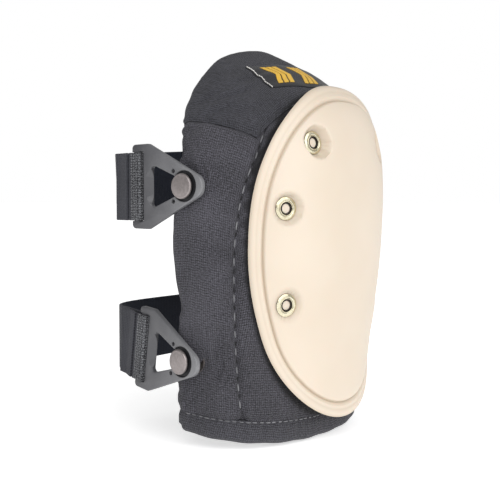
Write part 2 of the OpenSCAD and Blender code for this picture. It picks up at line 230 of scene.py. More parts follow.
def buildFinishes():
    clothPitch, elasticPitch = (0.00125, 0.0014), (0.0016, 0.0008)
    for key, name, dark, light, pitch, settings in (
            ("cover", "wovenNylon", (0.004, 0.004, 0.005), (0.121, 0.117, 0.142), clothPitch,
             {"grip": 0.9, "fleck": 0.8, "streak": 1.1}),
            ("thigh", "thighNylon", (0.003, 0.003, 0.004), (0.089, 0.089, 0.109), clothPitch,
             {"grip": 0.9, "fleck": 0.8, "streak": 1.1}),
            ("trim", "hemNylon", (0.004, 0.004, 0.005), (0.112, 0.110, 0.132), clothPitch,
             {"grip": 0.9, "fleck": 0.8, "streak": 0.9}),
            ("strap", "ribbedElastic", (0.008, 0.008, 0.012), (0.066, 0.068, 0.084), elasticPitch,
             {"grip": 0.5, "fleck": 0.35}),
            # A much darker, bluer copy of the elastic, painted shade for the loops' inward faces
            ("strapInsideShade", "elasticInsideShade", (0.0005, 0.002, 0.008), (0.002, 0.009, 0.030), elasticPitch,
             {"grip": 0.3, "fleck": 0.25}),
            ("nap", "brushedElastic", (0.006, 0.006, 0.009), (0.285, 0.292, 0.31), (0.0017, 0.0015),
             {"grip": 1.0, "fleck": 1.7, "streak": 1.0, "ground": 0.3}),
            ("label", "satinLabel", (0.006, 0.006, 0.008), (0.022, 0.022, 0.026), (0.0005, 0.0005),
             {"rough": 0.38, "grip": 0.25, "fleck": 0.3}),
            ("motif", "yellowThread", (0.62, 0.33, 0.02), (0.95, 0.62, 0.07), (0.0006, 0.0011),
             {"rough": 0.45, "grip": 0.5, "fleck": 0.3}),
            ("lining", "knitLining", (0.012, 0.012, 0.015), (0.055, 0.055, 0.065), (0.0020, 0.0024),
             {"grip": 0.9, "fleck": 0.2})):
        finishes[key] = woven(name, shade(*dark), shade(*light), pitch, **settings)

    cream = Finish("creamShell", **{"Roughness": 0.42, "Subsurface Weight": 0.06, "Subsurface Scale": 0.004,
                                    "IOR": 1.46})
    spot = cream.place()
    cloud = cream.noise(spot, 14.0, 3.0)
    grain = cream.noise(spot, 1500.0, 2.0)
    plain = cream.mix(cloud.ramp(0.3, 0.7), shade(0.70, 0.60, 0.485), shade(0.735, 0.64, 0.53))
    # Painted shade: marked points are mixed to a dark tan, the shade in the cap's groove, at its rim and round
    # the eyelet seats
    cream.feed("Base Color", cream.mix(cream.paintedShadeMask(), plain, shade(0.42, 0.33, 0.235)))
    cream.feed("Roughness", cloud * 0.12 + grain * 0.08 + 0.32)
    cream.feed("Normal", cream.bump(grain, 0.12, 0.0002))
    finishes["cap"] = cream.material

    def metal(name, dark, light, rough, brushed, paintedShade=shade(0.03, 0.025, 0.02)):
        made = Finish(name, Metallic=1.0)
        spot = made.place()
        streak = made.noise(spot, 700.0, 3.0, 0.6)
        cloud = made.noise(spot, 120.0, 3.0)
        plain = made.mix((streak * 0.5 + cloud * 0.5).ramp(0.3, 0.7), dark, light)
        # Painted shade: marked points are mixed to a near-black tone
        made.feed("Base Color", made.mix(made.paintedShadeMask(), plain, paintedShade))
        made.feed("Roughness", streak * brushed + rough)
        made.feed("Normal", made.bump(streak, 0.15, 0.0001))
        return made.material

    finishes["brass"] = metal("paleBrass", shade(0.56, 0.50, 0.33), shade(0.86, 0.82, 0.64), 0.16, 0.15)
    finishes["rivet"] = metal("platedSteel", shade(0.20, 0.18, 0.175), shade(0.46, 0.42, 0.41), 0.3, 0.2)
    finishes["stud"] = metal("satinGunmetal", shade(0.26, 0.235, 0.23), shade(0.39, 0.35, 0.345), 0.34, 0.25)

    def moulded(name, dark, light, rough, grainSize, grip, shadeTone=None):
        made = Finish(name)
        spot = made.place()
        grain = made.noise(spot, grainSize, 3.0, 0.6)
        cloud = made.noise(spot, 60.0, 3.0)
        plain = made.mix((cloud * 0.7 + grain * 0.3).ramp(0.3, 0.7), dark, light)
        made.feed("Base Color", made.mix(made.paintedShadeMask(), plain, shadeTone) if shadeTone else plain)
        made.feed("Roughness", grain * 0.2 + rough)
        made.feed("Normal", made.bump(grain, grip, 0.0003))
        return made.material

    for key, name, dark, light, rough, grainSize, grip in (
            ("buckle", "greyNylon", (0.185, 0.186, 0.195), (0.27, 0.27, 0.28), 0.26, 1400.0, 0.25),
            # A near-black copy of the nylon, painted shadow for the stud recess's floor
            ("recess", "recessShadowNylon", (0.008, 0.008, 0.010), (0.016, 0.016, 0.019), 0.5, 1400.0, 0.25),
            ("plate", "backingSheet", (0.012, 0.012, 0.014), (0.03, 0.03, 0.034), 0.45, 500.0, 0.2),
            ("foam", "denseFoam", (0.018, 0.018, 0.021), (0.045, 0.045, 0.05), 0.8, 900.0, 0.8),
            ("cushion", "softFoam", (0.11, 0.12, 0.13), (0.20, 0.21, 0.23), 0.85, 700.0, 0.9),
            ("thread", "greyThread", (0.10, 0.10, 0.108), (0.26, 0.26, 0.275), 0.5, 2500.0, 0.5),
            ("darkThread", "darkThread", (0.02, 0.02, 0.024), (0.07, 0.07, 0.08), 0.6, 2500.0, 0.5),
            # Near-black thread bits, painted shadow in the dips between seam stitches
            ("stitchGapShadow", "stitchGapShadowThread", (0.002, 0.002, 0.003), (0.012, 0.012, 0.014), 0.7, 2500.0, 0.5),
            ("whiteThread", "whiteThread", (0.55, 0.53, 0.50), (0.85, 0.83, 0.80), 0.5, 2500.0, 0.5)):
        # The buckle's painted shade tone, which its mark mixes in
        shadeTone = shade(0.022, 0.022, 0.028) if key == "buckle" else None
        finishes[key] = moulded(name, shade(*dark), shade(*light), rough, grainSize, grip, shadeTone)
    pale = Finish("paleFloor", Roughness=0.9)
    cloud = pale.noise(pale.place(), 3.0, 2.0)
    pale.feed("Base Color", pale.mix(cloud, shade(0.93, 0.93, 0.93), shade(0.95, 0.95, 0.95)))
    pale.shader.inputs["Emission Color"].default_value = (1, 1, 1, 1)
    pale.shader.inputs["Emission Strength"].default_value = 0.55
    finishes["floor"] = pale.material
    print("finishes done")


# ---- mesh helpers ----
def deselect():
    if bpy.context.mode != "OBJECT":
        bpy.ops.object.mode_set(mode="OBJECT")
    bpy.ops.object.select_all(action="DESELECT")


def pick(piece):
    deselect()
    piece.select_set(True)
    bpy.context.view_layer.objects.active = piece


def primitive(kind, name, **settings):
    deselect()
    settings.setdefault("location", (0, 0, 0))
    getattr(bpy.ops.mesh, "primitive_" + kind + "_add")(**settings)
    return named(bpy.context.object, name)


def pointsOf(piece):
    co = np.zeros(len(piece.data.vertices) * 3)
    piece.data.vertices.foreach_get("co", co)
    return co.reshape(-1, 3)


def setPoints(piece, points):
    piece.data.vertices.foreach_set("co", np.asarray(points, float).ravel())
    piece.data.update()


# Stores painted shade in the point attribute mark
def setPaintedShade(piece, values):
    mark = piece.data.attributes.new("mark", "FLOAT", "POINT")
    mark.data.foreach_set("value", np.asarray(values, np.float32))


def shaped(piece, kind, **settings):
    pick(piece)
    made = piece.modifiers.new(kind.title(), kind)
    for key, value in settings.items():
        setattr(made, key, value)
    bpy.ops.object.modifier_apply(modifier=made.name)


def named(piece, name):
    piece.name = piece.data.name = name
    return piece


def dressed(piece, body, finish, replaces=(), smooth=40):
    piece.data.materials.clear()
    piece.data.materials.append(finishes[finish])
    pick(piece)
    bpy.ops.object.shade_smooth_by_angle(angle=math.radians(smooth))
    if body:
        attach(piece, body)
    if replaces:
        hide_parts(*replaces)


def arcs(points, across, tall, order):
    net = points[order].reshape(tall + 1, across + 1, 3)
    run = np.zeros((tall + 1, across + 1))
    rise = np.zeros((tall + 1, across + 1))
    run[:, 1:] = np.cumsum(np.linalg.norm(np.diff(net, axis=1), axis=2), axis=1)
    rise[1:] = np.cumsum(np.linalg.norm(np.diff(net, axis=0), axis=2), axis=0)
    run -= run[:, across // 2][:, None]
    back = np.empty_like(order)
    back[order] = np.arange(len(order))
    return run.ravel()[back], rise.ravel()[back]


# A grid primitive laid out by shape(u, w), with its own lengths in metres as its UV map, and marks(u, w), when
# given, as its painted shade
def laidSheet(name, across, tall, shape, marks=None):
    piece = primitive("grid", name, x_subdivisions=across, y_subdivisions=tall, size=1)
    co = pointsOf(piece)
    u, w = co[:, 0] + 0.5, co[:, 1] + 0.5
    order = np.lexsort((np.round(u, 5), np.round(w, 5)))
    points = shape(u, w)
    run, rise = arcs(points, across, tall, order)
    setPoints(piece, points)
    corner = np.zeros(len(piece.data.loops), int)
    piece.data.loops.foreach_get("vertex_index", corner)
    flat = np.stack([run, rise], 1)[corner]
    piece.data.uv_layers.active.data.foreach_set("uv", flat.ravel())
    if marks:
        setPaintedShade(piece, marks(u, w))
    return piece


def cleaned(piece, merge=None):
    pick(piece)
    bpy.ops.object.mode_set(mode="EDIT")
    bpy.ops.mesh.select_all(action="SELECT")
    if merge:
        bpy.ops.mesh.remove_doubles(threshold=merge)
    bpy.ops.mesh.normals_make_consistent(inside=False)
    bpy.ops.object.mode_set(mode="OBJECT")
    return piece


def joined(pieces, name):
    deselect()
    for piece in pieces:
        piece.select_set(True)
    bpy.context.view_layer.objects.active = pieces[0]
    if len(pieces) > 1:
        bpy.ops.object.join()
    return named(pieces[0], name)


def copied(piece, place):
    made = piece.copy()
    made.data = piece.data.copy()
    bpy.context.scene.collection.objects.link(made)
    made.data.transform(place)
    return made


def copiesOf(piece, places, name):
    made = [copied(piece, p) for p in places]
    bpy.data.objects.remove(piece)
    return joined(made, name)


def frameAt(origin, x, z):
    x, z = Vector(x).normalized(), Vector(z).normalized()
    y = z.cross(x).normalized()
    x = y.cross(z)
    place = Matrix((x, y, z)).transposed().to_4x4()
    place.translation = Vector(origin)
    return place


# A round piece: a circle extruded and scaled through radius and height pairs in millimetres
def turned(name, profile, sides=40, closed=False):
    piece = primitive("circle", name, vertices=sides, radius=profile[0][0] / 1000)
    bpy.ops.object.mode_set(mode="EDIT")
    bpy.ops.mesh.select_all(action="SELECT")
    bpy.ops.transform.translate(value=(0, 0, profile[0][1] / 1000))
    if not closed:
        bpy.ops.mesh.edge_face_add()
        bpy.ops.mesh.select_all(action="SELECT")
    for (r0, h0), (r1, h1) in zip(profile, profile[1:]):
        extrude = bpy.ops.mesh.extrude_edges_move if closed else bpy.ops.mesh.extrude_region_move
        extrude(TRANSFORM_OT_translate={"value": (0, 0, (h1 - h0) / 1000)})
        bpy.ops.transform.resize(value=(r1 / r0, r1 / r0, 1))
    bpy.ops.mesh.select_all(action="SELECT")
    bpy.ops.mesh.remove_doubles(threshold=1e-6)
    bpy.ops.mesh.normals_make_consistent(inside=False)
    deselect()
    return piece


# ---- the pad's form, as in the CAD ----
padForm = {
    "centreLine": [(54, -8), (55.6, 30), (58.5, 64), (60.5, 98), (61.5, 132), (61, 162), (56, 184), (41.5, 198.6),
                   (23, 210.5), (3.5, 220.2)],
    "wingEdge": [(74, 1), (76, 33), (78.5, 66), (79.5, 99), (78.5, 130), (75.5, 153), (70.5, 171), (63, 185),
                 (55, 195.5), (46, 204)],
    "squareness": [2.3, 2.45, 2.6, 2.6, 2.6, 2.5, 2.3, 2.0, 1.8, 1.6],
    "kneeHeight": 110,
    "sideReach": 0.968,    # where the covers start to turn round the wings' rear edges
    "sideTurn": 0.12,
    "endTurn": 0.06,
    "hemStart": 0.006,
    "edgeBulge": 0.0070,
    "hemBulge": 0.0045,
    "thickness": (0.0116, 0.009),
}


# The cubic between b and c that runs on smoothly from a and to d
def curved(a, b, c, d, f):
    return (2 * b + (c - a) * f + (2 * a - 5 * b + 4 * c - d) * f ** 2
            + (3 * b - a - 3 * c + d) * f ** 3) / 2


def along(stations, v):
    table = np.array(stations, float)
    if table.ndim == 1:
        table = table[:, None]
    last = len(table) - 1
    x = np.clip(v, 0, 1) * last
    k = np.minimum(x.astype(int), last - 1)
    u = (x - k)[:, None]
    ends = np.vstack([2 * table[0] - table[1], table, 2 * table[-1] - table[-2]])
    return curved(*(ends[k + i] for i in range(4)), u)


def skin(a, v):
    c, e = along(padForm["centreLine"], v), along(padForm["wingEdge"], v)
    n = along(padForm["squareness"], v)[:, 0]
    p = np.abs(np.sin(a * math.pi / 2)) ** (2 / n)
    q = np.abs(np.cos(a * math.pi / 2)) ** (2 / n)
    z = e[:, 1] + (c[:, 1] - e[:, 1]) * q - padForm["kneeHeight"]
    return np.stack([np.sign(a) * e[:, 0] * p, -c[:, 0] * q, z], 1) / 1000


def unitRows(rows):
    return rows / np.maximum(np.linalg.norm(rows, axis=1), 1e-12)[:, None]


def skinFrame(a, v):
    m, w, h = np.clip(a, -0.965, 0.965), np.clip(v, 0.01, 0.99), 0.005
    side = unitRows(skin(m + h, w) - skin(m - h, w))
    rise = unitRows(skin(m, w + h) - skin(m, w - h))
    return side, rise, unitRows(np.cross(side, rise))


def topV(a):
    return 1 - 0.06 * np.abs(a) ** 6


def crown(a, v):
    return np.cos(a * math.pi / 2) ** 2 * np.sqrt(np.sin(math.pi * np.clip(v, 0.02, 0.98)))


def thickness(a, v):
    return padForm["thickness"][0] + padForm["thickness"][1] * crown(a, v)


# The padded shell as one map: past the wings, the top and the hem it turns round the padding's edge
def shell(a, v):
    reach, start = padForm["sideReach"], padForm["hemStart"]
    inA = np.clip(a, -reach, reach)
    top = topV(inA) - 0.025
    inV = np.clip(v, start, top)
    turnA = np.clip((np.abs(a) - reach) / padForm["sideTurn"], 0, 1)
    turnT = np.clip((v - top) / padForm["endTurn"], 0, 1)
    turnH = np.clip((start - v) / padForm["endTurn"], 0, 1)
    turn = np.maximum(turnA, np.maximum(turnT, turnH)) * math.pi
    base = skin(inA, inV)
    side, rise, out = skinFrame(inA, inV)
    edge = unitRows(side * (np.sign(a) * turnA)[:, None] + rise * (turnT - turnH)[:, None])
    depth = thickness(inA, inV) * (1 - np.cos(turn)) / 2
    bulge = padForm["edgeBulge"] + (padForm["hemBulge"] - padForm["edgeBulge"]) * (turnH > 0)
    points = base - out * depth[:, None] + edge * (bulge * np.sin(turn))[:, None]
    facing = unitRows(out * np.cos(turn)[:, None] + edge * np.sin(turn)[:, None])
    return points, facing


def seamA(v):
    return 0.655 - np.where(v > 0.34, 2, 0.7) * (v - 0.34) ** 2


def seamV(a):
    a = np.abs(a)
    return np.where(a < 0.54, 0.69 - 0.12 * (a / 0.54) ** 2, 0.57 + 0.235 * (a - 0.54))


hemV = 0.035


def findPlace(s, z):
    low, high = np.zeros_like(s), np.ones_like(s)
    for _ in range(24):
        mid = (low + high) / 2
        c, e = along(padForm["centreLine"], mid), along(padForm["wingEdge"], mid)
        n = along(padForm["squareness"], mid)[:, 0]
        p = np.minimum(np.abs(s) / e[:, 0], 1)
        height = e[:, 1] + (c[:, 1] - e[:, 1]) * (1 - p ** n) ** (1 / n)
        low, high = np.where(height < z, mid, low), np.where(height < z, high, mid)
    n, e = along(padForm["squareness"], mid)[:, 0], along(padForm["wingEdge"], mid)
    return np.sign(s) * np.arcsin(np.minimum(np.abs(s) / e[:, 0], 1) ** (n / 2)) * 2 / math.pi, mid


def skinPlace(s, z):
    a, v = findPlace(np.array([float(s)]), np.array([float(z)]))
    side, _, out = skinFrame(a, v)
    return frameAt(skin(a, v)[0], side[0], out[0])


# ---- fabric covers ----
coverSet = {
    "wall": 0.0011,
    "seamDip": 0.0017,
    "seamWidth": 0.0023,
    "stitchPitch": 0.010,
    "puckerDepth": 0.0008,
    "simStretch": 0.030,
    "simPush": 2.2,
    "simCap": 0.0034,
    "simFrames": 18,
    "simSlide": 0.0012,
    "cloth": {"quality": 7, "mass": 0.25, "tension_stiffness": 12, "compression_stiffness": 12,
              "shear_stiffness": 4, "bending_stiffness": 0.06},
    "bodyTall": 235,    # millimetres over the skin's whole height
    # thigh creases: across, height, lean, half-width, half-height, depth
    "creases": [(74, 168, 0.45, 16, 2.6, 0.0013), (88, 155, 0.30, 14, 2.4, 0.0014),
                (60, 182, 0.55, 15, 3.2, 0.0009), (96, 172, 0.65, 12, 2.6, 0.0010),
                (72, 150, 0.12, 17, 2.2, 0.0010), (44, 176, 0.20, 15, 3.0, 0.0006)],
}


def sampleNet(net, u, w):
    tall, across = net.shape[0] - 1, net.shape[1] - 1

    def weights(t, last):
        x = np.clip(t, 0, 1) * last
        k = np.minimum(x.astype(int), last - 1)
        f = x - k
        cubic = [(-f + 2 * f ** 2 - f ** 3) / 2, (2 - 5 * f ** 2 + 3 * f ** 3) / 2,
                 (f + 4 * f ** 2 - 3 * f ** 3) / 2, (-f ** 2 + f ** 3) / 2]
        return [(np.clip(k + i - 1, 0, last), cubic[i]) for i in range(4)]

    total = np.zeros((len(u), 3))
    for row, rowShare in weights(w, tall):
        for column, columnShare in weights(u, across):
            total += net[row, column] * (rowShare * columnShare)[:, None]
    return total


# Lets a coarse copy of a panel swell and wrinkle as cloth held at its seams, and returns how far it moved
def relaxedPanel(across, tall, shape, facing):
    trial = laidSheet("trialCloth", across, tall, shape)
    co = pointsOf(trial)
    plain = primitive("grid", "trialGrid", x_subdivisions=across, y_subdivisions=tall, size=1)
    flat = pointsOf(plain)
    bpy.data.objects.remove(plain)
    u, w = flat[:, 0] + 0.5, flat[:, 1] + 0.5
    held = trial.vertex_groups.new(name="held")
    edge = np.minimum(np.minimum(u, 1 - u), np.minimum(w, 1 - w)) < 1e-4
    held.add([int(i) for i in np.nonzero(edge)[0]], 1.0, "REPLACE")
    cloth = trial.modifiers.new("Cloth", "CLOTH")
    for key, value in coverSet["cloth"].items():
        setattr(cloth.settings, key, value)
    cloth.settings.vertex_group_mass = "held"
    cloth.settings.shrink_min = -coverSet["simStretch"]
    cloth.settings.use_pressure = True
    cloth.settings.uniform_pressure_force = coverSet["simPush"]
    cloth.settings.effector_weights.gravity = 0
    cloth.point_cache.frame_end = coverSet["simFrames"]
    scene = bpy.context.scene
    for number in range(1, coverSet["simFrames"] + 1):
        scene.frame_set(number)
    ready = trial.evaluated_get(bpy.context.evaluated_depsgraph_get())
    moved = np.zeros(len(co) * 3)
    ready.data.vertices.foreach_get("co", moved)
    moved = moved.reshape(-1, 3) - co
    out = facing(u, w)
    lift = (moved * out).sum(1)
    slide = moved - out * lift[:, None]
    length = np.maximum(np.linalg.norm(slide, axis=1), 1e-9)
    slide *= (np.minimum(length, coverSet["simSlide"]) / length)[:, None]
    lift = np.clip(lift, -coverSet["simSlide"], None)
    lift = coverSet["simCap"] * np.tanh(lift / coverSet["simCap"])
    moved = out * lift[:, None] + slide
    order = np.lexsort((np.round(u, 5), np.round(w, 5)))
    net = moved[order].reshape(tall + 1, across + 1, 3)
    scene.frame_set(1)
    bpy.data.objects.remove(trial)
    print("  cloth lift mm", round(float(lift.max()) * 1000, 2), round(float(lift.mean()) * 1000, 2))
    return lambda u, w: sampleNet(net, u, w)


def ridge(x, centre, width):
    return np.exp(-((x - centre) / width) ** 2)


def seamShape(distance, run, pitch=coverSet["stitchPitch"], depth=1.0):
    dip = -coverSet["seamDip"] * np.exp(-(distance / coverSet["seamWidth"]) ** 2)
    pucker = coverSet["puckerDepth"] * np.cos(2 * math.pi * run / pitch) * np.exp(-(distance / 0.0055) ** 1.2)
    return (dip - pucker * (1 - np.exp(-(distance / 0.0015) ** 2))) * depth


def sideAV(side):
    def place(u, w):
        v0 = hemV + w * 0.6
        a0 = seamA(v0)
        far = padForm["sideReach"] + padForm["sideTurn"]
        a = a0 + (far - a0) * (u if side > 0 else 1 - u)
        v = hemV + w * (seamV(np.minimum(a, padForm["sideReach"])) - hemV)
        return side * a, v
    return place


def frontAV(u, w):
    a = (2 * u - 1) * seamA(hemV + w * 0.6)
    return a, hemV + w * (seamV(a) - hemV)


def thighAV(u, w):
    far = padForm["sideReach"] + padForm["sideTurn"]
    a = (2 * u - 1) * far
    inA = np.clip(a, -padForm["sideReach"], padForm["sideReach"])
    v0 = seamV(inA)
    return a, v0 + w * (topV(inA) - 0.025 + padForm["endTurn"] - v0)


def hemAV(u, w):
    far = padForm["sideReach"] + padForm["sideTurn"]
    low = padForm["hemStart"] - padForm["endTurn"]
    return (2 * u - 1) * far, low + w * (hemV - low)


def coverPanel(name, across, tall, coarse, avOf, detail, node, finish="cover",
               relaxed=True):
    def base(u, w):
        return shell(*avOf(u, w))[0]

    def facing(u, w):
        return shell(*avOf(u, w))[1]

    offset = relaxedPanel(coarse[0], coarse[1], base, facing) if relaxed else (lambda u, w: 0.0)

    def final(u, w):
        a, v = avOf(u, w)
        points, out = shell(a, v)
        bulk = offset(u, w)
        order = np.lexsort((np.round(u, 5), np.round(w, 5)))
        run, rise = arcs(points, across, tall, order)
        return points + bulk + out * detail(u, w, a, v, run, rise)[:, None]

    piece = laidSheet(name, across, tall, final)
    shaped(piece, "SOLIDIFY", thickness=coverSet["wall"], offset=-1)
    dressed(piece, "pad", finish, (node,))
    print(name, "done", len(piece.data.polygons))


def edgeDistance(t, length):
    return np.minimum(t, 1 - t) * length


def sideDetail(side):
    def detail(u, w, a, v, run, rise):
        tall, wide = 0.135, 0.062
        inner = (1 - u if side < 0 else u) * wide
        height = seamShape(inner, rise) + seamShape((1 - w) * tall, run, 0.012, 0.8)
        height += seamShape(w * tall, run, 0.006, 0.7)
        mm = v * coverSet["bodyTall"] - 5
        outer = np.clip((np.abs(a) - 0.74) / 0.2, 0, 1) ** 2
        height -= 0.0024 * ridge(mm, 50, 15) * outer + 0.0016 * ridge(mm, 128, 13) * outer
        sway = np.sin(mm * 0.31 + np.abs(a) * 9) * 0.6 + np.sin(mm * 0.17 - np.abs(a) * 14 + 2) * 0.4
        height += 0.0004 * sway * np.exp(-(inner / 0.03) ** 2) + 0.00022 * np.sin(mm * 0.12 + np.abs(a) * 26)
        fan = ridge(np.abs(a), 0.93, 0.09)
        height += 0.0002 * fan * np.sin(mm * 0.42 + 1.2)
        return height
    return detail


def frontDetail(u, w, a, v, run, rise):
    height = seamShape(edgeDistance(u, 0.118), rise) + seamShape((1 - w) * 0.13, run, 0.012, 0.8)
    return height + seamShape(w * 0.13, run, 0.006, 0.7)


def thighDetail(u, w, a, v, run, rise):
    height = seamShape(w * 0.065, run, 0.012, 0.9)
    mm = v * coverSet["bodyTall"] - 5
    x = a * 118
    for side in (-1, 1):
        for cx, cz, tilt, wide, tall, deep in coverSet["creases"]:
            sideways = side * x - cx
            level = mm + sideways * tilt * 0.5
            share = deep * np.exp(-(sideways / wide) ** 2)
            height += share * (0.7 * ridge(level, cz + 6, tall * 1.4) - ridge(level, cz, tall))
    height += 0.00025 * np.sin(x * 0.21 + 1.0) * np.sin(mm * 0.23)
    return height * np.clip(w / 0.03, 0.6, 1) * np.clip((212 - mm) / 20, 0, 1)


def hemDetail(u, w, a, v, run, rise):
    above = (1 - w) * 0.030
    height = seamShape(above, run, 0.006, 0.7)
    height += 0.0002 * np.sin(run * 2 * math.pi / 0.021 + 0.7) * np.sin(w * math.pi)
    return height


def buildCovers():
    coverPanel("nearSideCover", 92, 150, (30, 46), sideAV(-1), sideDetail(-1), "near_side_cover")
    coverPanel("farSideCover", 92, 150, (30, 46), sideAV(1), sideDetail(1), "far_side_cover")
    coverPanel("frontCover", 110, 120, (30, 32), frontAV, frontDetail, "front_cover", relaxed=False)
    coverPanel("thighCover", 260, 70, (84, 22), thighAV, thighDetail, "thigh_cover", finish="thigh")
    coverPanel("hemBand", 260, 26, (84, 8), hemAV, hemDetail, "hem_band", finish="trim",
               relaxed=False)
    # Painted shadow: the covers darken to near black in a thin band round the cap's rim and under it
    for name in ("frontCover", "thighCover", "nearSideCover", "farSideCover"):
        panel = bpy.data.objects[name]
        co = pointsOf(panel) * 1000
        setPaintedShade(panel, np.clip((1.028 - capReach(co)) / 0.022, 0, 0.9) * (co[:, 1] < -20))


# ---- stitches ----
def stitchRow(name, places, length, finish, radius):
    stitch = primitive("uv_sphere", "stitch", segments=8, ring_count=5, radius=1)
    stitch.data.transform(Matrix.Rotation(math.radians(90), 4, "Y"))
    co = pointsOf(stitch)
    co[:, 0] = np.sign(co[:, 0]) * np.abs(co[:, 0]) ** 0.6 * length / 2
    co[:, 1] *= radius
    co[:, 2] = co[:, 2] * radius * 0.8 - radius * 1.4 * (np.abs(co[:, 0]) / (length / 2)) ** 3
    setPoints(stitch, co)
    row = copiesOf(stitch, places, name)
    dressed(row, "pad", finish, smooth=80)


def surfaceFrames(panel, route, lift):
    mesh = bpy.data.objects[panel]
    depsgraph = bpy.context.evaluated_depsgraph_get()
    ready = mesh.evaluated_get(depsgraph)
    frames = []
    for point, out, direction in route:
        found, spot, *_ = ready.ray_cast(Vector(point + out * 0.02), Vector(-out), distance=0.04)
        spot = spot if found else Vector(point)
        frames.append(frameAt(np.array(spot) + out * lift, direction, out))
    return frames


def seamRoute(avOf, start, end, pitch, fixed):
    t = np.linspace(start, end, 900)
    a, v = avOf(t)
    points, out = shell(a, v)
    length = np.concatenate([[0], np.cumsum(np.linalg.norm(np.diff(points, axis=0), axis=1))])
    marks = np.arange(fixed, length[-1] - pitch * 0.3, pitch)
    route = []
    for mark in marks:
        k = int(np.searchsorted(length, mark))
        k = min(max(k, 2), len(t) - 3)
        route.append((points[k], out[k], points[k + 2] - points[k - 2]))
    return route


def buildStitches():
    for side, name, panel in ((-1, "nearSeamThread", "nearSideCover"),
                              (1, "farSeamThread", "farSideCover")):
        def vertical(w, side=side):
            v0 = hemV + w * 0.6
            a = seamA(v0)
            return side * (a + 0.004), hemV + w * (seamV(a) - hemV)
        route = seamRoute(vertical, 0.02, 0.99, coverSet["stitchPitch"], 0.005)
        stitchRow(name, surfaceFrames(panel, route, 0.0002), 0.0052, "thread", 0.00042)
        # Painted shadow: near-black bits set in the gaps between the seam's stitches
        route = seamRoute(vertical, 0.02, 0.99, coverSet["stitchPitch"], 0.010)
        stitchRow(name + "Knots", surfaceFrames(panel, route, 0.0001), 0.0030, "stitchGapShadow", 0.00055)
    reach = padForm["sideReach"]

    def across(t):
        a = (2 * t - 1) * reach
        return a, seamV(a) + 0.004
    route = seamRoute(across, 0.0, 1.0, 0.006, 0.003)
    stitchRow("thighSeamThread", surfaceFrames("thighCover", route, 0.0), 0.0034, "darkThread",
              0.0003)

    def bottom(t):
        a = (2 * t - 1) * reach
        return a, np.full_like(a, hemV - 0.003)
    route = seamRoute(bottom, 0.0, 1.0, 0.004, 0.002)
    stitchRow("hemThread", surfaceFrames("hemBand", route, 0.0001), 0.0031, "thread", 0.00034)
    print("stitches done")


# ---- padding and lining ----
def paddingBody(name, node, finish, outer, inner, reach):
    piece = primitive("cube", name, size=1)
    bpy.ops.object.mode_set(mode="EDIT")
    bpy.ops.mesh.select_all(action="SELECT")
    bpy.ops.mesh.subdivide(number_cuts=47)
    bpy.ops.object.mode_set(mode="OBJECT")
    co = pointsOf(piece) * 2
    low = hemV + 0.006
    a = co[:, 0] * reach
    v = low + (co[:, 1] + 1) / 2 * (topV(a) - 0.045 - low)
    edge = np.maximum(np.abs(co[:, 0]), np.abs(co[:, 1]))
    slim = np.sqrt(np.clip(1 - np.clip((edge - 0.9) / 0.1, 0, 1) ** 2 * 0.85, 0, 1))
    base, out = skin(a, v), skinFrame(a, v)[2]
    middle, half = (outer(a, v) + inner(a, v)) / 2, (inner(a, v) - outer(a, v)) / 2
    setPoints(piece, base - out * (middle - co[:, 2] * half * slim)[:, None])
    dressed(piece, "pad", finish, (node,), smooth=60)


def buildPadding():
    def foamIn(a, v):
        return 0.0080 + 0.004 * crown(a, v)

    def cushionIn(a, v):
        return foamIn(a, v) + 0.0022 + 0.005 * crown(a, v)
    paddingBody("foamCore", "foam_core", "foam", lambda a, v: 0.0029 + 0 * a, foamIn, 0.955)
    paddingBody("kneeCushion", "knee_cushion", "cushion",
                lambda a, v: foamIn(a, v) + 0.0002, cushionIn, 0.950)
    reach, top = padForm["sideReach"] + 0.012, 0.025 - 0.006

    def liningPlace(u, w):
        a = (1 - 2 * u) * reach
        inA = np.clip(a, -padForm["sideReach"], padForm["sideReach"])
        low = padForm["hemStart"] - 0.006
        v = low + w * (topV(inA) - top - low)
        inV = np.clip(v, padForm["hemStart"], topV(inA) - 0.025)
        side, rise, out = skinFrame(inA, inV)
        edge = side * np.clip(np.abs(a) - padForm["sideReach"], 0, 1)[:, None] * 0.1 * np.sign(a)[:, None]
        edge += rise * (v - inV)[:, None] * 0.2
        fade = np.clip(np.minimum(1 - np.abs(a) / reach, np.minimum(w, 1 - w)) / 0.06, 0, 1)
        quilt = 0.0007 * np.abs(np.sin(math.pi * (a * 6.5 + 0.5))) ** 0.6 * fade
        sink = thickness(inA, inV) - 0.0004 + quilt + 0.0008 * np.sqrt(fade)
        return skin(inA, inV) - out * sink[:, None] + edge
    lining = laidSheet("kneeLining", 150, 130, liningPlace)
    shaped(lining, "SOLIDIFY", thickness=0.001, offset=-1)
    dressed(lining, "pad", "lining", ("lining",))
    print("padding done")


# ---- cap ----
capSet = {
    "halfWide": 66.2, "middle": 103, "reachUp": 86.5, "reachDown": 100, "wall": 2.4, "rise": 8.5,
    "groove": 0.915, "squareness": (2.42, 2.08), "rivetAt": [(32.5, 159.5), (50.5, 123.9), (48.5, 71.4)],
    "seatHeight": 4.6, "seatRadius": 7.4, "dimpleRadius": 9.6,
}


# Share of the way from the cap's middle to its rim
def capReach(co):
    rise = co[:, 2] + padForm["kneeHeight"] - capSet["middle"]
    bend = np.where(rise > 0, *capSet["squareness"])
    tall = np.where(rise > 0, capSet["reachUp"], capSet["reachDown"])
    return ((np.abs(co[:, 0]) / capSet["halfWide"]) ** bend + (np.abs(rise) / tall) ** bend) ** (1 / bend)


def capRimLift(z):
    def part(x):
        return np.clip(x, 0, 1) ** 1.45
    return capSet["wall"] + 0.8 + 5.2 * part((z - 110) / 80) + 10.2 * part((50 - z) / 50)


